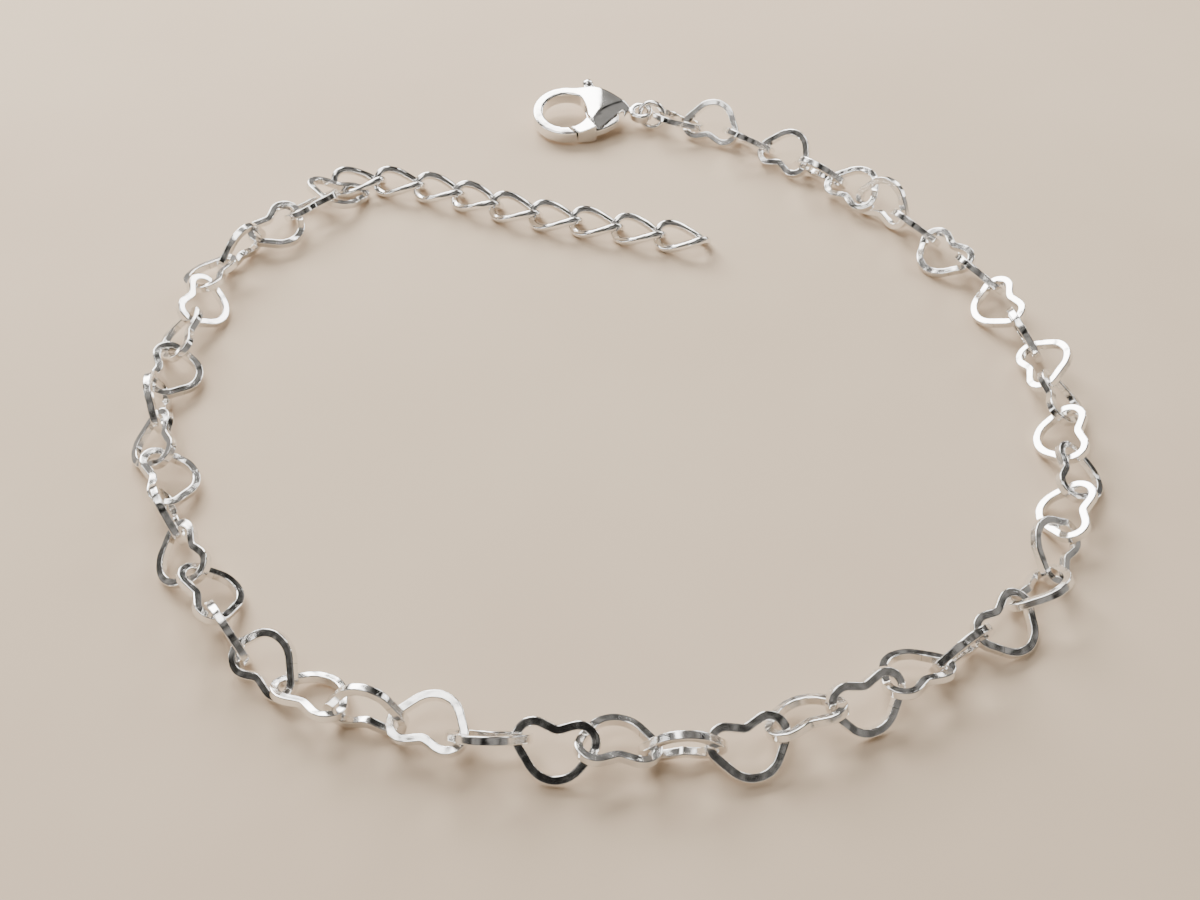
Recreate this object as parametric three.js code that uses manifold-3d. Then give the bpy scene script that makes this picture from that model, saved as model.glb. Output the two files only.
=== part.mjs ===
// Heart link bracelet lying open on a flat surface: 48 linked hearts of square wire, a curb chain
// extender with a free end, a jump ring and a lobster clasp whose gate turns on a rivet.
// Millimetres, +Z up. The surface is z = 0, and the origin is below the middle of the whole piece.

import * as THREE from 'three';
import { mergeVertices } from 'three/addons/utils/BufferGeometryUtils.js';
import Module from 'manifold-3d';

const wasm = await Module();
wasm.setup();

const { cos, sin, acos, atan2, hypot, min, sign, PI } = Math;
const RAD = PI / 180;
const UP = new THREE.Vector3(0, 0, 1);

// ---- Driving dimensions -------------------------------------------------------------------

// One heart: square wire bent to a heart that is wider than it is tall.
const WIRE = 0.53;
const HEART_WIDTH = 5.09;
const HEART_HEIGHT = 3.75;
const LOBE_RADIUS = 0.98;       // along the middle of the wire, as are the next two
const NOTCH_RADIUS = 0.6;
const TIP_RADIUS = 1.75;
const NOTCH_DEPTH = 0.38;
const LINK_REACH = 3.82;         // longest distance between the joints at a heart's two ends

// How the chain lies: the joints between hearts follow a smooth curve, seen from above. Every
// fourth joint is at one of these points, and the three between share the curve evenly.
const JOINTS_PER_SPAN = 4;
const CHAIN_ROUTE = [
  // x, y
  [4.8, 33.2], [16.2, 24.6], [26.0, 14.2], [31.2, 1.0], [31.4, -13.0], [23.5, -25.8],
  [10.1, -32.5], [-4.9, -33.1], [-19.5, -29.4], [-27.8, -16.8], [-31.8, -2.4], [-29.2, 11.8],
  [-20.4, 23.2],
];

const START_HEIGHT = 3;         // the chain is let down from here, by this step
const STEP = 0.02;

// How each heart lies, in degrees and millimetres. At a lean of 0 it lies flat with its notch
// towards the inside of the loop, at 90 the notch is straight up, and at 180 it is outside. Turn
// is its turn seen from above, and it is moved along the chain and across to the inside.
const HEARTS = [
  // lean, turn, along, across
  [-155, -8.8, 0.689, 0.389], [-45, 9.7, 0.268, 0.178], [-140, -1.6, 0.301, -0.214],
  [-40, -5.5, 0.466, 0.015], [-130, 1.8, 0.593, -0.081], [-25, -6.9, 0.469, 0.408],
  [-75, 0.4, 0.05, 0.274], [-135, -1.3, 0.04, 0.227], [155, 2.7, 0.124, 0.11],
  [-135, 3.5, 0.095, -0.294], [150, -9.8, 0.117, -0.153], [-120, 2.3, 0.353, 0.075],
  [-35, -4.7, 0.207, 0.391], [35, -3.9, 0.281, 0.301], [150, -7.1, 0.302, 0.223],
  [30, -1.2, 0.375, 0.454], [155, -1.5, 0.221, 0.026], [-140, 0.9, 0.092, 0.152],
  [-40, -8.8, -0.01, 0.432], [25, -2.5, -0.039, 0.74], [-75, -0.1, 0.116, 0.862],
  [165, 3.6, 0.082, 0.72], [50, 0.7, 0.092, 0.756], [150, 2.2, 0.19, 0.584], [30, 6.2, 0.077, 0.28],
  [-75, -2.2, 0.091, 0.168], [170, 4.2, 0.014, 0.173], [40, -2.4, -0.227, 0.377],
  [-50, 0.1, -0.144, 0.371], [-170, -12, -0.308, 0.52], [-95, 1.8, -0.253, 0.859],
  [160, -3, -0.099, 0.816], [-135, 7.4, 0.03, 0.809], [-80, 1.1, -0.077, 0.595],
  [153, 3.7, -0.325, 0.459], [35, 4.4, -0.435, 0.427], [-75, 0.7, -0.468, 0.243],
  [162, 2.6, -0.65, 0.231], [35, 1.6, -0.795, 0.476], [-80, 0.7, -0.813, 0.47],
  [160, 2, -0.818, 0.542], [35, 1.5, -0.808, 0.951], [140, 6.5, -0.57, 0.689],
  [15, 7.2, -0.686, 0.358], [-105, -1.6, -0.711, 0.476], [165, 5.3, -0.412, 0.412],
  [33, -2.7, -0.522, 1.017], [-175, -43.26, -0.871, 0.422],
];

// The extender: twisted curb links, lying flat from the last heart to a free end. The links are
// soldered into three lengths that hang on each other.
const CURB_LINKS = 9;
const LINKS_PER_LENGTH = 3;
const CURB_WIRE = 0.54;
const CURB_LENGTH = 4.54;
const CURB_WIDTH = 3.0;
const CURB_BLUNT = 0.75;        // 1 for an ellipse, less for blunter ends
const CURB_TWIST = 45 * RAD;    // each end is turned this far out of the flat
const CURB_PITCH = 3.5;         // soldered links touch at this distance
const CURB_PLAY = 0.12;         // how much closer two lengths are where they hang on each other
const CURB_HEIGHT = 0.8;
const CURB_ROUTE = [
  // x, y, between the last heart and the free end
  [-22.0, 22.2], [-19.3, 22.5], [-16.0, 21.95], [-12.4, 20.8], [-9.0, 19.2], [-5.7, 17.9],
  [-2.3, 17.0], [1.1, 16.1], [4.5, 15.1], [8.0, 14.4], [11.5, 13.6],
];

// The lobster clasp, in a frame with the middle of its body at the origin, x towards the tail
// and y towards the thumb nub. The whole clasp is tipped a little, as it lies on its bulge and its hook.
const CLASP_PLACE = new THREE.Vector3(-0.45, 31.9, 0);
const CLASP_TIP = 10 * RAD;
const HOOK_CENTRE = [-2.75, -0.25];
const HOOK_RADIUS = 2.9;
const OPENING_RADIUS = 2.05;
const HOOK_THICKNESS = 1.14;
const BODY_ABOVE = 0.97;        // the body swells this far over the rivet, and less under it
const BODY_BELOW = 0.75;
const TAIL_CENTRE = [2.3, 0.3];
const TAIL_RADIUS = 0.45;
const TAIL_THICKNESS = 1.1;
const EYE_CENTRE = [3.72, 0.02];
const EYE_RADIUS = 1.0;
const EYE_HOLE = 0.52;
const EYE_THICKNESS = 0.74;
const SLOT_HEIGHT = 0.84;
const LEVER_THICKNESS = 0.66;
const RIVET_CENTRE = [-0.05, -0.95];
const RIVET_RADIUS = 0.34;
const RIVET_CLEARANCE = 0.08;
const GATE_REACH = 2.74;         // the hook's tip is cut to this radius about the rivet
const GATE_GAP = 0.1;
const NUB_CENTRE = [-0.93, 3.55];
const NUB_RADIUS = 0.55;
const FACET_SLOPE = 27 * RAD;

// The jump ring, hung between the clasp's tail eye and the first heart.
const RING_WIRE = 0.44;
const RING_RADIUS = 1.06;
const RING_CENTRE = new THREE.Vector3(4.22, 31.6, 1.22);
const RING_AXIS = new THREE.Vector3(-0.334, -0.89, 0.312).normalize();

// ---- Heart links --------------------------------------------------------------------------

// A point on the heart's outline is at the ends of round stretches joined by straight ones.
// x runs lobe to lobe, which is along the chain, and y runs towards the notch.
const lobeX = (HEART_WIDTH - WIRE) / 2 - LOBE_RADIUS;
const notchY = LOBE_RADIUS - NOTCH_DEPTH + NOTCH_RADIUS;
const tipY = -(HEART_HEIGHT - WIRE - LOBE_RADIUS - TIP_RADIUS);
const notchAngle = atan2(notchY, -lobeX) - acos((LOBE_RADIUS + NOTCH_RADIUS) / hypot(lobeX, notchY));
const sideAngle = atan2(tipY, -lobeX) + acos((LOBE_RADIUS - TIP_RADIUS) / hypot(lobeX, tipY));

function arc(x, y, radius, from, to, steps) {
  return Array.from({ length: steps + 1 }, (_, i) => {
    const angle = from + (to - from) * i / steps;
    return new THREE.Vector2(x + radius * cos(angle), y + radius * sin(angle));
  });
}

// The heart's outline, moved outwards by grow from the middle of the wire.
function heartOutline(grow) {
  const lobe = LOBE_RADIUS + grow;
  const right = arc(lobeX, 0, lobe, notchAngle, sideAngle, 7);
  const left = right.map(point => new THREE.Vector2(-point.x, point.y)).reverse();
  return [
    ...right,
    ...arc(0, tipY, TIP_RADIUS + grow, sideAngle, -PI - sideAngle, 5),
    ...left,
    ...arc(0, notchY, NOTCH_RADIUS - grow, -notchAngle, notchAngle - PI, 3),
  ];
}

function heartGeometry() {
  const shape = new THREE.Shape(heartOutline(WIRE / 2));
  shape.holes.push(new THREE.Path(heartOutline(-WIRE / 2).reverse()));
  return new THREE.ExtrudeGeometry(shape, { depth: WIRE, bevelEnabled: false })
    .translate(0, 0, -WIRE / 2);
}

// The lowest point of a heart between joints at two heights, when it leans.
const heartEdge = heartOutline(WIRE / 2);
function lowestPoint(start, end, lean) {
  const slope = (end - start) / LINK_REACH;
  const heights = heartEdge.map(point => point.x * slope + point.y * sin(lean));
  return (start + end) / 2 + min(...heights) - WIRE / 2 * Math.abs(cos(lean));
}

// ---- The chain laid on the surface --------------------------------------------------------

function spread(route, perSpan) {
  const curve = new THREE.CatmullRomCurve3(route.map(([x, y]) => new THREE.Vector3(x, y, 0)));
  const spans = route.length - 1;
  curve.arcLengthDivisions = spans * 60;
  const lengths = curve.getLengths();
  const total = lengths[lengths.length - 1];
  const points = [];
  for (let i = 0; i <= spans * perSpan; i++) {
    const span = min(Math.floor(i / perSpan), spans - 1);
    const from = lengths[span * 60];
    const to = lengths[(span + 1) * 60];
    points.push(curve.getPointAt((from + (to - from) * (i / perSpan - span)) / total));
  }
  return points;
}

// The chain is let down from a height in small steps. A joint stays where it is once going down
// would push a heart through the surface or pull two hearts tight.
function letDown(joints, leans) {
  const held = (i, height) => {
    const before = i === 0 ? null : joints[i - 1];
    const after = i === leans.length ? null : joints[i + 1];
    const moved = joints[i].clone().setZ(height);
    return (before && lowestPoint(before.z, height, leans[i - 1]) < 0)
      || (after && lowestPoint(height, after.z, leans[i]) < 0)
      || (before && before.distanceTo(moved) > LINK_REACH)
      || (after && after.distanceTo(moved) > LINK_REACH);
  };
  joints.forEach(joint => joint.setZ(START_HEIGHT));
  for (let round = 0; round < START_HEIGHT / STEP * 2; round++) {
    joints.forEach((joint, i) => {
      if (!held(i, joint.z - STEP)) joint.z -= STEP;
    });
  }
}

// A link's frame: x runs along the chain, and y leans by the given angle from the inside.
function linkMatrix(from, to, lean, turn = 0, along = 0, across = 0) {
  const ahead = to.clone().sub(from).setZ(0).normalize();
  const inside = new THREE.Vector3().crossVectors(ahead, UP);
  const middle = from.clone().add(to).multiplyScalar(0.5);
  middle.addScaledVector(ahead, along).addScaledVector(inside, across);
  const x = to.clone().sub(from).normalize().applyAxisAngle(UP, turn);
  const side = new THREE.Vector3().crossVectors(x, UP).normalize();
  const lift = new THREE.Vector3().crossVectors(side, x);
  const y = side.multiplyScalar(cos(lean)).addScaledVector(lift, sin(lean));
  const z = new THREE.Vector3().crossVectors(x, y);
  return new THREE.Matrix4().makeBasis(x, y, z).setPosition(middle);
}

// ---- Curb links, jump ring and clasp ------------------------------------------------------

// Closed solids for joining and cutting, and back again.
function solidOf(geometry) {
  const plain = geometry.clone();
  plain.deleteAttribute('normal');
  plain.deleteAttribute('uv');
  const merged = mergeVertices(plain, 1e-4);
  return new wasm.Manifold(new wasm.Mesh({
    numProp: 3,
    vertProperties: merged.attributes.position.array,
    triVerts: Uint32Array.from(merged.index.array),
  }));
}

function geometryOf(solid) {
  const mesh = solid.getMesh();
  const geometry = new THREE.BufferGeometry();
  geometry.setAttribute('position', new THREE.BufferAttribute(mesh.vertProperties, mesh.numProp));
  geometry.setIndex(new THREE.BufferAttribute(mesh.triVerts, 1));
  return geometry.toNonIndexed();
}

// An upright slab over a shape drawn in the xy plane, centred on z = 0.
function slab(shape, height, curveSegments = 36) {
  const geometry = new THREE.ExtrudeGeometry(shape, {
    depth: height, bevelEnabled: false, curveSegments,
  });
  return solidOf(geometry.translate(0, 0, -height / 2));
}

function polygon(points) {
  return new THREE.Shape(points.map(([x, y]) => new THREE.Vector2(x, y)));
}

function circle([x, y], radius) {
  return new THREE.Shape().absarc(x, y, radius, 0, 2 * PI);
}

// An oval of wire, twisted so that its two ends are turned out of the flat in opposite ways.
class CurbCurve extends THREE.Curve {
  getPoint(t, target = new THREE.Vector3()) {
    const along = cos(2 * PI * t);
    const across = sin(2 * PI * t);
    const x = (CURB_LENGTH - CURB_WIRE) / 2 * sign(along) * Math.abs(along) ** CURB_BLUNT;
    const out = (CURB_WIDTH - CURB_WIRE) / 2 * sign(across) * Math.abs(across) ** CURB_BLUNT;
    const turn = -CURB_TWIST * x / (CURB_LENGTH - CURB_WIRE) * 2;
    return target.set(x, out * cos(turn), out * sin(turn));
  }
}

function curbLength(first) {
  const link = solidOf(new THREE.TubeGeometry(new CurbCurve(), 22, CURB_WIRE / 2, 6, true));
  const curve = new THREE.CatmullRomCurve3(
    CURB_ROUTE.map(([x, y]) => new THREE.Vector3(x, y, CURB_HEIGHT)));
  const at = distance => curve.getPointAt(distance / curve.getLength());
  let joined = null;
  for (let i = first; i < first + LINKS_PER_LENGTH; i++) {
    const start = i * CURB_PITCH - Math.floor(i / LINKS_PER_LENGTH) * CURB_PLAY;
    const matrix = linkMatrix(at(start), at(start + CURB_PITCH), PI);
    const placed = link.transform(matrix.elements);
    joined = joined ? joined.add(placed) : placed;
  }
  return geometryOf(joined);
}

// The clasp seen from above: round at the hook, then drawn in to the tail.
const [hookX, hookY] = HOOK_CENTRE;
const [tailX, tailY] = TAIL_CENTRE;

function claspOutline(inset) {
  const hook = HOOK_RADIUS - inset;
  const tail = TAIL_RADIUS - inset;
  const shape = new THREE.Shape();
  shape.absarc(hookX, hookY, hook, 80 * RAD, 280 * RAD);
  shape.quadraticCurveTo(1.4, hookY - hook + 0.25, tailX + 0.2, tailY - tail);
  shape.absarc(tailX, tailY, tail, -60 * RAD, 60 * RAD);
  shape.quadraticCurveTo(0.2, hookY + hook + 0.1, hookX + hook * cos(80 * RAD),
    hookY + hook * sin(80 * RAD));
  return shape;
}

function hookOpening() {
  const shape = new THREE.Shape();
  shape.absarc(hookX, hookY, OPENING_RADIUS, 52 * RAD, 332 * RAD);
  shape.quadraticCurveTo(-0.85, -0.1, hookX + OPENING_RADIUS * cos(52 * RAD),
    hookY + OPENING_RADIUS * sin(52 * RAD));
  return shape;
}

// Seen from the side: thin at the hook, full over the rivet and thin again at the tail.
function claspProfile() {
  const edge = (full, side) => new THREE.SplineCurve([
    [-6, HOOK_THICKNESS / 2], [-3, HOOK_THICKNESS / 2], [-1.6, HOOK_THICKNESS * 0.55],
    [-0.3, full], [0.8, full * 0.97], [2.9, TAIL_THICKNESS / 2],
  ].map(([x, height]) => new THREE.Vector2(x, side * height))).getPoints(20);
  const shape = new THREE.Shape([...edge(BODY_ABOVE, 1), ...edge(BODY_BELOW, -1).reverse()]);
  const geometry = new THREE.ExtrudeGeometry(shape, { depth: 8, bevelEnabled: false });
  return solidOf(geometry.translate(0, 0, -4).rotateX(PI / 2));
}

// The part of the outline that belongs to the gate, between the hook's tip and the body's edge.
function gateSector(gap) {
  const sector = polygon([[-3.2, -1.5], [-3.2, -3.8], [0.6 - gap, -3.8], [-0.95 - gap, -0.95 - gap]]);
  return slab(sector, 3).intersect(slab(circle(RIVET_CENTRE, GATE_REACH - gap), 3, 32));
}

function facets(solid) {
  const edge = [[-0.3, -1.35], [0.9, 2.15]];
  const falls = [[0.77, -0.64], [0.5, 0.87]];
  let cut = solid;
  edge.forEach(([x, y], i) => {
    const [dx, dy] = falls[i];
    for (const [side, full] of [[1, BODY_ABOVE], [-1, BODY_BELOW]]) {
      const normal = [-dx * sin(FACET_SLOPE), -dy * sin(FACET_SLOPE), -side * cos(FACET_SLOPE)];
      const through = [x, y, side * full];
      const offset = normal.reduce((sum, value, axis) => sum + value * through[axis], 0);
      cut = cut.trimByPlane(normal, offset);
    }
  });
  return cut;
}

function claspBody(blank) {
  const slot = slab(polygon([
    [-1.7, -3.4], [-1.7, 0.4], [-1.0, 0.7], [-1.55, 3.4], [1.35, 3.4], [1.25, 1.0], [2.2, 0.2],
    [2.2, -3.4],
  ]), SLOT_HEIGHT);
  const eye = slab(circle(EYE_CENTRE, EYE_RADIUS), EYE_THICKNESS)
    .subtract(slab(circle(EYE_CENTRE, EYE_HOLE), 2));
  return facets(blank)
    .subtract(gateSector(0))
    .subtract(slot)
    .add(slab(circle(RIVET_CENTRE, RIVET_RADIUS), 1.5).translate(0, 0, 0.12))
    .add(eye);
}

function claspGate(blank) {
  const nubArm = polygon([[-0.45, -0.4], [0.45, -0.4], [-0.5, 3.5], [-1.35, 3.4]]);
  const leg = polygon([
    [-0.98, -1.2], [-0.6, -2.4], [0.1, -3.4], [1.8, -3.4], [1.75, 0], [0.4, 0.7], [-0.8, 0],
  ]);
  const nub = solidOf(new THREE.SphereGeometry(NUB_RADIUS, 14, 9))
    .translate([...NUB_CENTRE, 0]);
  const flat = slab(circle(RIVET_CENTRE, 0.85), LEVER_THICKNESS)
    .add(slab(nubArm, LEVER_THICKNESS))
    .add(slab(claspOutline(0.12), LEVER_THICKNESS).intersect(slab(leg, LEVER_THICKNESS)));
  return blank.intersect(gateSector(GATE_GAP))
    .add(flat)
    .add(nub)
    .subtract(slab(circle(RIVET_CENTRE, RIVET_RADIUS + RIVET_CLEARANCE), 3));
}

// ---- The bracelet -------------------------------------------------------------------------

const silver = new THREE.MeshStandardMaterial({ color: 0xd9d8d5, roughness: 0.18, metalness: 1 });

function addPiece(parent, name, geometry, matrix = new THREE.Matrix4()) {
  const mesh = new THREE.Mesh(geometry, silver.clone());
  mesh.name = name;
  mesh.applyMatrix4(matrix);
  parent.add(mesh);
  return mesh;
}

const bracelet = new THREE.Group();

const leans = HEARTS.map(([lean]) => lean * RAD);
const joints = spread(CHAIN_ROUTE, JOINTS_PER_SPAN);
letDown(joints, leans);
const heart = heartGeometry();
HEARTS.forEach(([lean, turn, along, across], i) => {
  const name = `heart_link_${String(i + 1).padStart(2, '0')}`;
  const matrix = linkMatrix(joints[i], joints[i + 1], lean * RAD, turn * RAD, along, across);
  addPiece(bracelet, name, heart, matrix);
});

for (let i = 0; i < CURB_LINKS / LINKS_PER_LENGTH; i++) {
  addPiece(bracelet, `extender_length_${i + 1}`, curbLength(i * LINKS_PER_LENGTH));
}

const ringMatrix = new THREE.Matrix4()
  .makeRotationFromQuaternion(new THREE.Quaternion().setFromUnitVectors(UP, RING_AXIS))
  .setPosition(RING_CENTRE);
const ring = new THREE.TorusGeometry(RING_RADIUS, RING_WIRE / 2, 8, 28);
addPiece(bracelet, 'jump_ring', ring, ringMatrix);

const blank = slab(claspOutline(0), 3).subtract(slab(hookOpening(), 4)).intersect(claspProfile());
const clasp = new THREE.Group();
clasp.rotation.x = CLASP_TIP;
addPiece(clasp, 'clasp_body', geometryOf(claspBody(blank)));
addPiece(clasp, 'clasp_gate', geometryOf(claspGate(blank)));
clasp.position.copy(CLASP_PLACE);
clasp.position.z -= new THREE.Box3().setFromObject(clasp, true).min.z;
bracelet.add(clasp);

// The origin goes below the middle of the piece, on the surface.
const box = new THREE.Box3().setFromObject(bracelet, true);
const middle = box.getCenter(new THREE.Vector3()).setZ(box.min.z);
bracelet.children.forEach(child => child.position.sub(middle));

export default bracelet;
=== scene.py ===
import math

import bpy
import numpy as np
from mathutils import Matrix, Vector


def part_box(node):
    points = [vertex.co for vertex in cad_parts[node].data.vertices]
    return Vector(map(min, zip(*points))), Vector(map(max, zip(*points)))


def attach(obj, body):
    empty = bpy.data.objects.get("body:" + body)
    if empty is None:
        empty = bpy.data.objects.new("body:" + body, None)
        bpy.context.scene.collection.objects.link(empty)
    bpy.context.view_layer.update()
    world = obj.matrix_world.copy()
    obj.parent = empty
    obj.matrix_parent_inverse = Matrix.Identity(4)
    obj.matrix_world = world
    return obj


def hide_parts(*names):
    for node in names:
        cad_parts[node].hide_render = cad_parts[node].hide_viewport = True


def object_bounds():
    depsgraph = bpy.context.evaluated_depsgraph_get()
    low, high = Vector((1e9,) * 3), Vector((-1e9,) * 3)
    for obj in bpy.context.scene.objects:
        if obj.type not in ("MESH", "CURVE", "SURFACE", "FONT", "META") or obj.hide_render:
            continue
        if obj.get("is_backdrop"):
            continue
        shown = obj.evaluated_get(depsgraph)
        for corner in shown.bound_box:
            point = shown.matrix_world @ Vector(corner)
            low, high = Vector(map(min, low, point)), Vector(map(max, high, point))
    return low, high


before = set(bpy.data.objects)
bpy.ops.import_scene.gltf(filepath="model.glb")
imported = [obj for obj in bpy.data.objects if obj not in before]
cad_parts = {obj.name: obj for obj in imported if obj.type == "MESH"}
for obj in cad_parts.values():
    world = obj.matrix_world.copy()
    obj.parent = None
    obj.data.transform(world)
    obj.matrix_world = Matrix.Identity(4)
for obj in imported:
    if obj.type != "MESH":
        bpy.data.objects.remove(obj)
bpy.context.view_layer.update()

scene = bpy.context.scene


# ---- The surface it lies on, the lights and the camera --------------------------------------
# A plain pale stone top, honed and warm in colour. Two soft boxes hang over it: a bright one
# behind and to the left, which draws the shadows forwards, and a wide dim one overhead. A card
# and two strips at the sides are there for the metal to mirror.
def new_material(name):
    """A material with an empty node tree but for its output and its main shader."""
    material = bpy.data.materials.new(name)
    material.use_nodes = True
    nodes = material.node_tree.nodes
    nodes.clear()
    output = nodes.new("ShaderNodeOutputMaterial")
    shader = nodes.new("ShaderNodeBsdfPrincipled")
    material.node_tree.links.new(shader.outputs["BSDF"], output.inputs["Surface"])
    return material, nodes, material.node_tree.links, shader


stone, nodes, links, shader = new_material("pale_stone")
shader.inputs["Roughness"].default_value = 0.85
shader.inputs["Specular IOR Level"].default_value = 0.25
coordinate = nodes.new("ShaderNodeTexCoord")
clouding = nodes.new("ShaderNodeTexNoise")
clouding.inputs["Scale"].default_value = 45.0
clouding.inputs["Detail"].default_value = 3.0
tint = nodes.new("ShaderNodeValToRGB")
tint.color_ramp.elements[0].color = (0.70, 0.545, 0.395, 1)
tint.color_ramp.elements[1].color = (0.80, 0.64, 0.475, 1)
links.new(coordinate.outputs["Object"], clouding.inputs["Vector"])
links.new(clouding.outputs["Fac"], tint.inputs["Fac"])
links.new(tint.outputs["Color"], shader.inputs["Base Color"])

SURFACE_HALF = 0.9
SURFACE_DROP = 6e-5    # just under the lowest link, whose modelled wire is a little fuller

surface_mesh = bpy.data.meshes.new("surface")
surface_mesh.from_pydata(
    [(x * SURFACE_HALF, y * SURFACE_HALF, -SURFACE_DROP)
     for x, y in ((-1, -1), (1, -1), (1, 1), (-1, 1))],
    [], [(0, 1, 2, 3)])
surface_mesh.materials.append(stone)
surface = bpy.data.objects.new("surface", surface_mesh)
scene.collection.objects.link(surface)
surface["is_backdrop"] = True


def soft_box(name, place, aim, width, height, power, colour):
    """A rectangular area light at a place, turned to shine at the aim."""
    lamp = bpy.data.lights.new(name, "AREA")
    lamp.shape = "RECTANGLE"
    lamp.size = width
    lamp.size_y = height
    lamp.energy = power
    lamp.color = colour
    holder = bpy.data.objects.new(name, lamp)
    holder.location = place
    holder.rotation_euler = (Vector(aim) - Vector(place)).to_track_quat("-Z", "Y").to_euler()
    scene.collection.objects.link(holder)


for lamp_settings in (
        # name, place, aim, width, height, watts, colour
        ("soft_box_back", (-0.12, 0.24, 0.19), (-0.01, 0, 0), 0.27, 0.19, 2.15, (1.0, 0.985, 0.96)),
        ("soft_box_over", (-0.10, 0.0, 0.36), (-0.01, 0, 0), 0.24, 0.15, 0.55, (1.0, 0.98, 0.95)),
        ("card_back_right", (0.17, 0.22, 0.15), (0, 0, 0), 0.10, 0.12, 0.30, (1.0, 0.99, 0.97)),
        ("strip_right", (0.26, 0.10, 0.11), (0, 0, 0), 0.03, 0.15, 0.09, (1.0, 1.0, 1.0)),
        ("strip_left", (-0.26, -0.04, 0.11), (0, 0, 0), 0.03, 0.15, 0.09, (1.0, 1.0, 1.0))):
    soft_box(*lamp_settings)

# The room around is dim and uneven, light panels against dark walls, which the metal mirrors.
world = bpy.data.worlds.new("studio")
scene.world = world
world.use_nodes = True
room = world.node_tree.nodes
direction = room.new("ShaderNodeTexCoord")
panels = room.new("ShaderNodeTexNoise")
panels.inputs["Scale"].default_value = 3.2
panels.inputs["Detail"].default_value = 1.0
panel_tone = room.new("ShaderNodeValToRGB")
panel_tone.color_ramp.elements[0].position = 0.40
panel_tone.color_ramp.elements[0].color = (0.035, 0.033, 0.03, 1)
panel_tone.color_ramp.elements[1].position = 0.60
panel_tone.color_ramp.elements[1].color = (0.78, 0.75, 0.71, 1)
world.node_tree.links.new(direction.outputs["Generated"], panels.inputs["Vector"])
world.node_tree.links.new(panels.outputs["Fac"], panel_tone.inputs["Fac"])
world.node_tree.links.new(panel_tone.outputs["Color"], room["Background"].inputs["Color"])
room["Background"].inputs["Strength"].default_value = 0.46

lens = bpy.data.cameras.new("camera")
lens.lens = 45.0
lens.sensor_width = 36.0
lens.clip_start = 0.005
lens.clip_end = 10.0
camera = bpy.data.objects.new("camera", lens)
camera.location = (-0.000783, -0.081178, 0.073903)
camera.rotation_euler = (math.radians(44.5), 0, 0)
scene.collection.objects.link(camera)
scene.camera = camera


# ---- Heart links ----------------------------------------------------------------------------
# Each is a loop of square drawn silver wire, bent round a former to an open heart, soldered shut
# on one side and tumbled bright, so its edges are a little soft and its flats a little uneven.
# They hang in each other lobe to lobe.
HEART_WIDTH = 5.09
HEART_HEIGHT = 3.75
HEART_WIRE = 0.53
LOBE_RADIUS = 0.98
NOTCH_RADIUS = 0.6
TIP_RADIUS = 1.75
NOTCH_DEPTH = 0.38
HEART_STEPS = 112      # points round the wire
HEART_CORNER = 0.055   # how far the wire's square corners are rounded
HEART_UNEVEN = 0.03    # how much the wire's thickness varies, as a share of it
HEART_SEAM = 0.27      # where the solder is, as a share of the way round
MILLIMETRE = 0.001


def evenly(points, count):
    """A closed line of points, spaced evenly by length, and its length."""
    closed = np.vstack([points, points[:1]])
    travelled = np.concatenate([[0], np.cumsum(np.linalg.norm(np.diff(closed, axis=0), axis=1))])
    wanted = np.linspace(0, travelled[-1], count, endpoint=False)
    return np.stack([np.interp(wanted, travelled, axis) for axis in closed.T], 1), travelled[-1]


def heart_line(count):
    """The middle of the wire: two lobes, a tip and a notch, each an arc, joined by straights."""
    lobe_x = (HEART_WIDTH - HEART_WIRE) / 2 - LOBE_RADIUS
    notch_y = LOBE_RADIUS - NOTCH_DEPTH + NOTCH_RADIUS
    tip_y = -(HEART_HEIGHT - HEART_WIRE - LOBE_RADIUS - TIP_RADIUS)
    notch_angle = math.atan2(notch_y, -lobe_x) - math.acos(
        (LOBE_RADIUS + NOTCH_RADIUS) / math.hypot(lobe_x, notch_y))
    side_angle = math.atan2(tip_y, -lobe_x) + math.acos(
        (LOBE_RADIUS - TIP_RADIUS) / math.hypot(lobe_x, tip_y))

    def arc(x, y, radius, start, end):
        angle = np.linspace(start, end, 60)
        return np.stack([x + radius * np.cos(angle), y + radius * np.sin(angle)], 1)

    right = arc(lobe_x, 0, LOBE_RADIUS, notch_angle, side_angle)
    left = (right * [-1, 1])[::-1]
    tip = arc(0, tip_y, TIP_RADIUS, side_angle, -math.pi - side_angle)
    notch = arc(0, notch_y, NOTCH_RADIUS, -notch_angle, notch_angle - math.pi)
    return evenly(np.vstack([right, tip, left, notch]), count)


def soft_square(half, corner):
    """A square section with round corners, and a point on each flat just inside each corner."""
    angle = np.radians([0, 45, 90])
    round_part = (half - corner) + corner * np.stack([np.cos(angle), np.sin(angle)], 1)
    side = np.vstack([[half, half - corner * 1.7], round_part, [half - corner * 1.7, half]])
    turn = np.array([[0, 1], [-1, 0]])
    return np.vstack([side, side @ turn, side @ turn @ turn, side @ turn @ turn @ turn])


def swept(middle, outwards, upwards, section, swell):
    """A section carried along a closed line: middle + swell * (a * outwards + b * upwards)."""
    out = section[None, :, :1] * outwards[:, None, :]
    up = section[None, :, 1:] * upwards[:, None, :]
    return middle[:, None, :] + swell[:, :, None] * (out + up)


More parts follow.
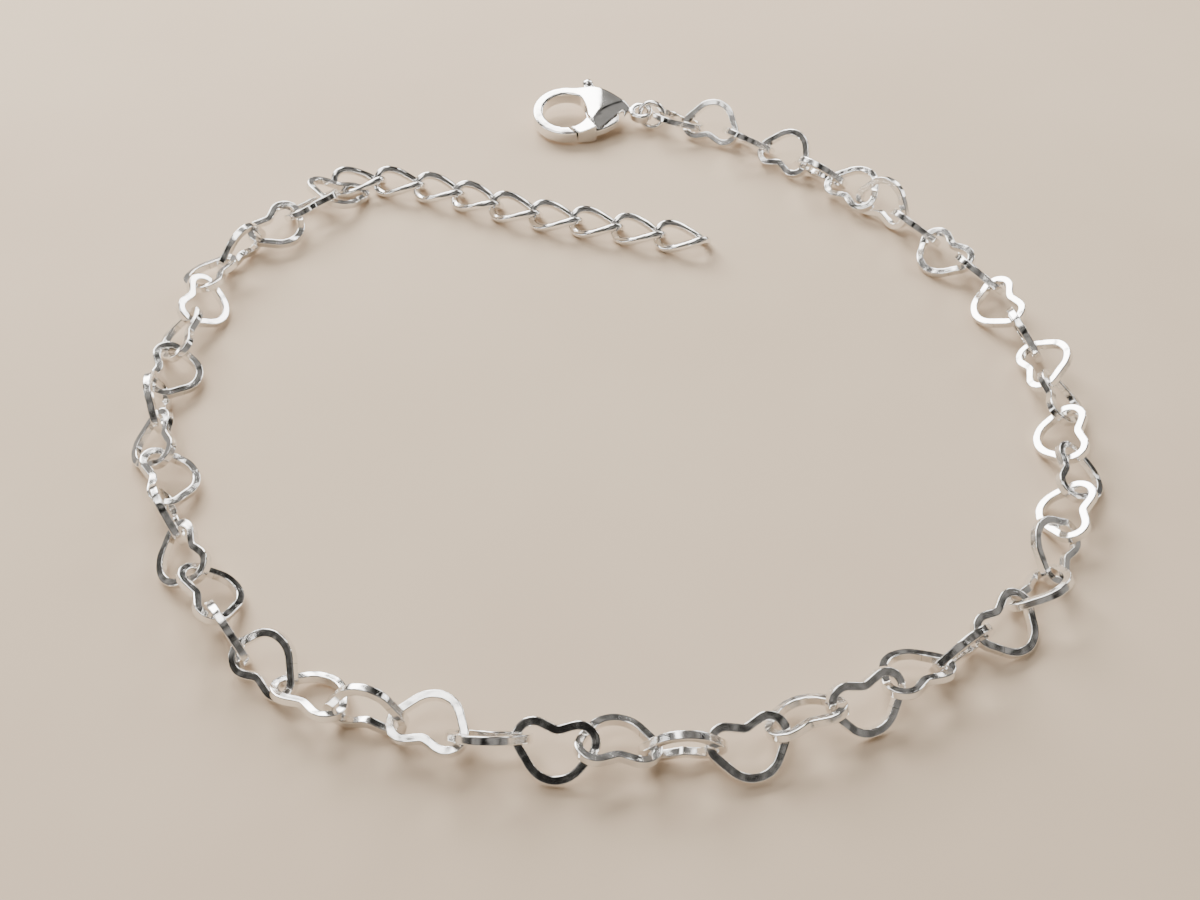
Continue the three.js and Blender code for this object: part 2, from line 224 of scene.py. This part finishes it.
def closed_mesh(name, grid, length):
    """A mesh of quads over a grid of points that closes both ways, with a map of the wire's
    length along it and the way round it, both in millimetres."""
    rows, columns, _ = grid.shape
    i, j = (a.ravel() for a in np.meshgrid(np.arange(rows), np.arange(columns), indexing="ij"))
    ahead, beside = (i + 1) % rows, (j + 1) % columns
    quads = np.stack([i * columns + j, ahead * columns + j, ahead * columns + beside,
                      i * columns + beside], 1)
    points = grid.reshape(-1, 3)
    a, b, c, d = (points[quads[:, k]] for k in range(4))
    volume = (np.einsum("ij,ij->i", a, np.cross(b, c)) + np.einsum("ij,ij->i", a, np.cross(c, d)))
    across = np.linalg.norm(np.diff(grid[0], axis=0), axis=1)
    around = np.concatenate([[0], np.cumsum(across)])
    around = np.append(around, around[-1] + np.linalg.norm(grid[0][0] - grid[0][-1]))
    along = np.linspace(0, length, rows + 1)
    u = np.stack([along[i], along[i + 1], along[i + 1], along[i]], 1)
    v = np.stack([around[j], around[j], around[j + 1], around[j + 1]], 1)
    if volume.sum() < 0:
        quads, u, v = quads[:, ::-1], u[:, ::-1], v[:, ::-1]
    mesh = bpy.data.meshes.new(name)
    mesh.from_pydata(points.tolist(), [], quads.tolist())
    layer = mesh.uv_layers.new(name="wire")
    layer.data.foreach_set("uv", np.stack([u, v], 2).ravel())
    mesh.shade_smooth()
    return mesh


def surface_frame(points, triangles):
    """The middle of a surface, and its directions of most, next and least spread, by area."""
    a, b, c = (points[triangles[:, k]] for k in range(3))
    area = np.linalg.norm(np.cross(b - a, c - a), axis=1) / 2
    centres = (a + b + c) / 3
    middle = (area[:, None] * centres).sum(0) / area.sum()
    a, b, c, m = a - middle, b - middle, c - middle, centres - middle
    spread = sum(np.einsum("i,ij,ik->jk", area / 12 * w, q, q)
                 for w, q in ((1, a), (1, b), (1, c), (9, m)))
    axes = np.linalg.eigh(spread)[1].T[::-1]
    lean = (area * (m @ axes[1]) ** 3).sum()
    second = axes[1] * np.sign(lean)
    return middle, np.stack([axes[0], second, np.cross(axes[0], second)])


def mesh_arrays(mesh):
    """The points and triangles of a mesh, as arrays."""
    mesh.calc_loop_triangles()
    points = np.empty(len(mesh.vertices) * 3)
    mesh.vertices.foreach_get("co", points)
    triangles = np.empty(len(mesh.loop_triangles) * 3, dtype=np.int32)
    mesh.loop_triangles.foreach_get("vertices", triangles)
    return points.reshape(-1, 3), triangles.reshape(-1, 3)


def add_piece(name, mesh, node, material, body="bracelet"):
    """Shows a mesh in place of a solid, which it hides, on the named moving body and with the given
    material.
    """
    mesh.materials.clear()
    mesh.materials.append(material)
    piece = bpy.data.objects.new(name, mesh)
    scene.collection.objects.link(piece)
    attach(piece, body)
    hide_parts(node)
    return piece


def add_node(nodes, kind, **values):
    """A node with its input values set by name, with _ for a space."""
    node = nodes.new(kind)
    for key, value in values.items():
        node.inputs[key.replace("_", " ")].default_value = value
    return node


# Bright metal is never even: handling leaves hazy patches, and drawing, rolling or polishing
# leaves fine lines along it. This group gives the haze and the height of those lines.
wear = bpy.data.node_groups.new("bright_metal_wear", "ShaderNodeTree")
wear.interface.new_socket("Place", in_out="INPUT", socket_type="NodeSocketVector")
wear.interface.new_socket("Lines", in_out="INPUT", socket_type="NodeSocketVector")
wear.interface.new_socket("Roughness", in_out="OUTPUT", socket_type="NodeSocketFloat")
wear.interface.new_socket("Tone", in_out="OUTPUT", socket_type="NodeSocketFloat")
wear.interface.new_socket("Height", in_out="OUTPUT", socket_type="NodeSocketFloat")
enter = wear.nodes.new("NodeGroupInput")
leave = wear.nodes.new("NodeGroupOutput")
haze = add_node(wear.nodes, "ShaderNodeTexNoise", Scale=520.0, Detail=4.0, Roughness=0.6)
lines = add_node(wear.nodes, "ShaderNodeTexNoise", Scale=1.0, Detail=3.0, Roughness=0.7)
dents = add_node(wear.nodes, "ShaderNodeTexNoise", Scale=900.0, Detail=1.0, Roughness=0.35)
rough = wear.nodes.new("ShaderNodeMapRange")
rough.inputs["From Min"].default_value = 0.3
rough.inputs["From Max"].default_value = 0.75
rough.inputs["To Min"].default_value = 0.04
rough.inputs["To Max"].default_value = 0.17
mixed = wear.nodes.new("ShaderNodeMath")
mixed.operation = "MULTIPLY_ADD"
mixed.inputs[1].default_value = 26.0
streak = wear.nodes.new("ShaderNodeMath")
streak.operation = "MULTIPLY_ADD"
streak.inputs[1].default_value = 0.06
wear.links.new(enter.outputs["Place"], haze.inputs["Vector"])
wear.links.new(enter.outputs["Place"], dents.inputs["Vector"])
wear.links.new(enter.outputs["Lines"], lines.inputs["Vector"])
wear.links.new(haze.outputs["Fac"], rough.inputs["Value"])
wear.links.new(lines.outputs["Fac"], streak.inputs[0])
wear.links.new(rough.outputs["Result"], streak.inputs[2])
wear.links.new(streak.outputs["Value"], leave.inputs["Roughness"])
wear.links.new(haze.outputs["Fac"], leave.inputs["Tone"])
wear.links.new(dents.outputs["Fac"], mixed.inputs[0])
wear.links.new(lines.outputs["Fac"], mixed.inputs[2])
wear.links.new(mixed.outputs["Value"], leave.inputs["Height"])


def silver(name, bright, dull, line_source, line_scale, depth, seam_at=None):
    """Polished silver: colour between dull and bright with the haze, lines stretched along the
    piece by line_scale, and depth metres of relief. Where the wire's length is seam_at, a faint
    dull line of solder crosses it."""
    material, nodes, links, shader = new_material(name)
    shader.inputs["Metallic"].default_value = 1.0
    coordinate = nodes.new("ShaderNodeTexCoord")
    stretch = nodes.new("ShaderNodeMapping")
    stretch.inputs["Scale"].default_value = line_scale
    group = nodes.new("ShaderNodeGroup")
    group.node_tree = wear
    tone = nodes.new("ShaderNodeValToRGB")
    tone.color_ramp.elements[0].position = 0.3
    tone.color_ramp.elements[0].color = (*dull, 1)
    tone.color_ramp.elements[1].position = 0.62
    tone.color_ramp.elements[1].color = (*bright, 1)
    bump = nodes.new("ShaderNodeBump")
    bump.inputs["Strength"].default_value = 0.6
    bump.inputs["Distance"].default_value = depth
    links.new(coordinate.outputs["Object"], group.inputs["Place"])
    links.new(coordinate.outputs[line_source], stretch.inputs["Vector"])
    links.new(stretch.outputs["Vector"], group.inputs["Lines"])
    links.new(group.outputs["Tone"], tone.inputs["Fac"])
    colour = tone.outputs["Color"]
    if seam_at is not None:
        place = nodes.new("ShaderNodeSeparateXYZ")
        away = nodes.new("ShaderNodeMath")
        away.operation = "SUBTRACT"
        away.inputs[1].default_value = seam_at
        size = nodes.new("ShaderNodeMath")
        size.operation = "ABSOLUTE"
        near = add_node(nodes, "ShaderNodeMapRange", From_Min=0.012, From_Max=0.035, To_Min=0.55,
                        To_Max=0.0)
        dulled = nodes.new("ShaderNodeMixRGB")
        dulled.inputs["Color2"].default_value = (0.36, 0.34, 0.31, 1)
        links.new(coordinate.outputs["UV"], place.inputs["Vector"])
        links.new(place.outputs["X"], away.inputs[0])
        links.new(away.outputs["Value"], size.inputs[0])
        links.new(size.outputs["Value"], near.inputs["Value"])
        links.new(near.outputs["Result"], dulled.inputs["Fac"])
        links.new(colour, dulled.inputs["Color1"])
        colour = dulled.outputs["Color"]
    links.new(colour, shader.inputs["Base Color"])
    links.new(group.outputs["Roughness"], shader.inputs["Roughness"])
    links.new(group.outputs["Height"], bump.inputs["Height"])
    links.new(bump.outputs["Normal"], shader.inputs["Normal"])
    return material


heart_points, heart_length = heart_line(HEART_STEPS)
heart_silver = silver("heart_silver", (0.93, 0.92, 0.905), (0.80, 0.785, 0.76), "UV",
                      (0.9, 26.0, 1.0), 6e-6, seam_at=heart_length * HEART_SEAM)
heart_ahead = np.roll(heart_points, -1, axis=0) - np.roll(heart_points, 1, axis=0)
heart_ahead /= np.linalg.norm(heart_ahead, axis=1, keepdims=True)
heart_middle = np.column_stack([heart_points, np.zeros(len(heart_points))])
heart_out = np.column_stack([-heart_ahead[:, 1], heart_ahead[:, 0], np.zeros(len(heart_points))])
heart_up = np.tile([0.0, 0.0, 1.0], (len(heart_points), 1))
heart_section = soft_square(HEART_WIRE / 2, HEART_CORNER)
round_it = np.linspace(0, 2 * math.pi, len(heart_points), endpoint=False)[:, None]
flat_side = np.arctan2(heart_section[:, 1], heart_section[:, 0])[None, :]

for node in sorted(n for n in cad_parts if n.startswith("heart_link")):
    chance = np.random.default_rng(int(node[-2:]))
    a, b, c, d = chance.uniform(0, 2 * math.pi, 4)
    uneven = (0.35 * np.sin(5 * round_it + a + 2 * flat_side) + 0.4 * np.sin(9 * round_it + b)
              + 0.25 * np.sin(14 * round_it + c - 2 * flat_side) - 0.6)
    swell = 1 + HEART_UNEVEN * uneven * (1 + 0.4 * np.sin(2 * round_it + d))
    grid = swept(heart_middle, heart_out, heart_up, heart_section, swell)
    mesh = closed_mesh(node + "_metal", grid, heart_length)
    own_middle, own_axes = surface_frame(*mesh_arrays(mesh))
    middle, axes = surface_frame(*mesh_arrays(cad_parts[node].data))
    placed = (grid.reshape(-1, 3) - own_middle) @ own_axes.T @ axes * MILLIMETRE + middle
    mesh.vertices.foreach_set("co", placed.ravel())
    mesh.update()
    add_piece(node + "_metal", mesh, node, heart_silver)


# ---- Extender -------------------------------------------------------------------------------
# A short curb chain of drawn silver wire, each oval link twisted so that the chain lies flat,
# then rolled a little, which leaves the wire with flats. It hangs on the last heart link, and its
# other end is free.
CURB_WIRE = 0.54
CURB_LENGTH = 4.54
CURB_WIDTH = 3.0
CURB_BLUNT = 0.75
CURB_TWIST = math.radians(45)
CURB_PITCH = 3.5
CURB_PLAY = 0.12
CURB_HEIGHT = 0.8      # of the links' middles over the surface
CURB_LINKS = 9
LINKS_PER_LENGTH = 3
CURB_STEPS = 104       # points round a link's wire
CURB_SIDES = 24        # points round the section of it
CURB_PRESS = 2.7       # 2 for a round section, more for a squarer one
CURB_FULLNESS = 1.09   # the flats stand this much outside the round of the wire
CURB_UNEVEN = 0.018
CURB_ROUTE = np.array([
    (-22.0, 22.2), (-19.3, 22.5), (-16.0, 21.95), (-12.4, 20.8), (-9.0, 19.2), (-5.7, 17.9),
    (-2.3, 17.0), (1.1, 16.1), (4.5, 15.1), (8.0, 14.4), (11.5, 13.6)])


def smooth_route(points):
    """A smooth line through points: cubics whose slopes allow for the root of each spacing."""
    ends = np.vstack([2 * points[0] - points[1], points, 2 * points[-1] - points[-2]])
    gap = np.linalg.norm(np.diff(ends, axis=0), axis=1) ** 0.5
    line = []
    for k in range(len(points) - 1):
        before, start, end, after = ends[k:k + 4]
        d0, d1, d2 = gap[k:k + 3]
        leave = ((start - before) / d0 - (end - before) / (d0 + d1) + (end - start) / d1) * d1
        arrive = ((end - start) / d1 - (after - start) / (d1 + d2) + (after - end) / d2) * d1
        t = np.linspace(0, 1, 60, endpoint=False)[:, None]
        line.append(start + leave * t + (3 * (end - start) - 2 * leave - arrive) * t ** 2
                    + (2 * (start - end) + leave + arrive) * t ** 3)
    return np.vstack([*line, points[-1:]])


curb_path = smooth_route(CURB_ROUTE)
curb_travelled = np.concatenate(
    [[0], np.cumsum(np.linalg.norm(np.diff(curb_path, axis=0), axis=1))])


def curb_place(distance):
    """The point of the extender's route at a distance from its start, in millimetres."""
    return np.array([np.interp(distance, curb_travelled, axis) for axis in curb_path.T])


def curb_link():
    """One link: a blunt oval (x as cos^0.75, y as sin^0.75), turned about its length as it goes,
    with a wire whose section is a circle pressed towards a square."""
    t = np.linspace(0, 2 * math.pi, 4000, endpoint=False)
    x = (CURB_LENGTH - CURB_WIRE) / 2 * np.sign(np.cos(t)) * np.abs(np.cos(t)) ** CURB_BLUNT
    out = (CURB_WIDTH - CURB_WIRE) / 2 * np.sign(np.sin(t)) * np.abs(np.sin(t)) ** CURB_BLUNT
    turn = -CURB_TWIST * x / (CURB_LENGTH - CURB_WIRE) * 2
    middle, length = evenly(np.stack([x, out * np.cos(turn), out * np.sin(turn)], 1),
                            CURB_STEPS)
    ahead = np.roll(middle, -1, axis=0) - np.roll(middle, 1, axis=0)
    ahead /= np.linalg.norm(ahead, axis=1, keepdims=True)
    turn = -CURB_TWIST * middle[:, :1] / (CURB_LENGTH - CURB_WIRE) * 2
    up = np.hstack([np.zeros_like(turn), -np.sin(turn), np.cos(turn)])
    up -= (up * ahead).sum(1, keepdims=True) * ahead
    up /= np.linalg.norm(up, axis=1, keepdims=True)
    angle = np.linspace(0, 2 * math.pi, CURB_SIDES, endpoint=False)
    press = (np.abs(np.cos(angle)) ** CURB_PRESS + np.abs(np.sin(angle)) ** CURB_PRESS) ** (
        -1 / CURB_PRESS)
    section = CURB_WIRE / 2 * CURB_FULLNESS * press[:, None] * np.stack(
        [np.cos(angle), np.sin(angle)], 1)
    return middle, np.cross(ahead, up), up, section, length


curb_silver = silver("curb_silver", (0.92, 0.91, 0.895), (0.78, 0.765, 0.74), "UV",
                     (1.1, 20.0, 1.0), 6e-6)
link_middle, link_out, link_up, link_section, link_length = curb_link()
for number in range(CURB_LINKS):
    start = number * CURB_PITCH - number // LINKS_PER_LENGTH * CURB_PLAY
    from_, to = curb_place(start), curb_place(start + CURB_PITCH)
    x_axis = np.append((to - from_) / np.linalg.norm(to - from_), 0)
    y_axis = -np.cross(x_axis, [0, 0, 1])
    axes = np.stack([x_axis, y_axis, np.cross(x_axis, y_axis)])
    chance = np.random.default_rng(200 + number)
    wave = np.linspace(0, 2 * math.pi, len(link_middle), endpoint=False)[:, None]
    swell = 1 + CURB_UNEVEN * np.sin(4 * wave + chance.uniform(0, 6) + np.zeros((1, len(link_section))))
    grid = swept(link_middle, link_out, link_up, link_section, swell) @ axes
    grid = (grid + np.append((from_ + to) / 2, CURB_HEIGHT)) * MILLIMETRE
    if number % LINKS_PER_LENGTH == 0:
        length_grids = []
    length_grids.append(grid)
    if number % LINKS_PER_LENGTH == LINKS_PER_LENGTH - 1:
        node = f"extender_length_{number // LINKS_PER_LENGTH + 1}"
        low, high = (np.array(corner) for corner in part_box(node))
        points = np.vstack([g.reshape(-1, 3) for g in length_grids])
        offset = (low + high) / 2 - (points.min(0) + points.max(0)) / 2
        for k, grid in enumerate(length_grids):
            name = f"extender_link_{number - 1 + k}"
            mesh = closed_mesh(name, grid + offset, link_length)
            add_piece(name, mesh, node, curb_silver)


# ---- Jump ring ------------------------------------------------------------------------------
# A small ring of round silver wire between the clasp's tail eye and the first heart link, sawn
# through at one place and closed again.
RING_WIRE = 0.44
RING_RADIUS = 1.06
RING_STEPS = 120       # points round the ring, with its saw cut half way
RING_SIDES = 28

clasp_silver = silver("clasp_silver", (0.935, 0.925, 0.91), (0.84, 0.825, 0.80), "Object",
                      (500.0, 6000.0, 6000.0), 8e-7)
middle, axes = surface_frame(*mesh_arrays(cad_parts["jump_ring"].data))
angle = np.linspace(0, 2 * math.pi, RING_STEPS, endpoint=False)[:, None]
ring_out = np.cos(angle) * axes[0] + np.sin(angle) * axes[1]
ring_up = np.tile(axes[2], (len(angle), 1))
angle = np.linspace(0, 2 * math.pi, RING_SIDES, endpoint=False)
section = RING_WIRE / 2 * np.stack([np.cos(angle), np.sin(angle)], 1)
from_cut = np.arange(RING_STEPS) - RING_STEPS / 2
seam = 1 - 0.1 * np.exp(-(from_cut / 1.2) ** 2)[:, None] * np.ones((1, RING_SIDES))
grid = swept(RING_RADIUS * ring_out, ring_out, ring_up, section, seam) * MILLIMETRE + middle
mesh = closed_mesh("jump_ring_metal", grid, 2 * math.pi * RING_RADIUS)
add_piece("jump_ring_metal", mesh, "jump_ring", heart_silver)


# ---- Clasp ----------------------------------------------------------------------------------
# A lobster clasp: the hook, body and tail eye are one silver casting, and a cast lever turns on
# a rivet in the body's slot. Both were tumbled and hand polished, which rounds every edge.
def softened(node, grain, passes):
    """A solid's skin made again as an even net of squares of the given size, in millimetres,
    and relaxed towards the mean of its neighbours, which rounds its edges."""
    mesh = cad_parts[node].data.copy()
    mesh.transform(Matrix.Scale(1 / MILLIMETRE, 4))
    blank = bpy.data.objects.new(node + "_blank", mesh)
    scene.collection.objects.link(blank)
    weld = blank.modifiers.new("weld", "WELD")
    weld.merge_threshold = 0.0005
    net = blank.modifiers.new("net", "REMESH")
    net.mode = "VOXEL"
    net.voxel_size = grain
    relax = blank.modifiers.new("relax", "SMOOTH")
    relax.factor = 0.5
    relax.iterations = passes
    bpy.context.view_layer.update()
    done = bpy.data.meshes.new_from_object(
        blank.evaluated_get(bpy.context.evaluated_depsgraph_get()))
    bpy.data.objects.remove(blank)
    done.transform(Matrix.Scale(MILLIMETRE, 4))
    done.shade_smooth()
    return done


CLASP_GRAIN = 0.042
for node, passes, body in (("clasp_body", 48, "bracelet"), ("clasp_gate", 18, "gate")):
    add_piece(node + "_metal", softened(node, CLASP_GRAIN, passes), node, clasp_silver,
              body)

low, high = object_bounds()
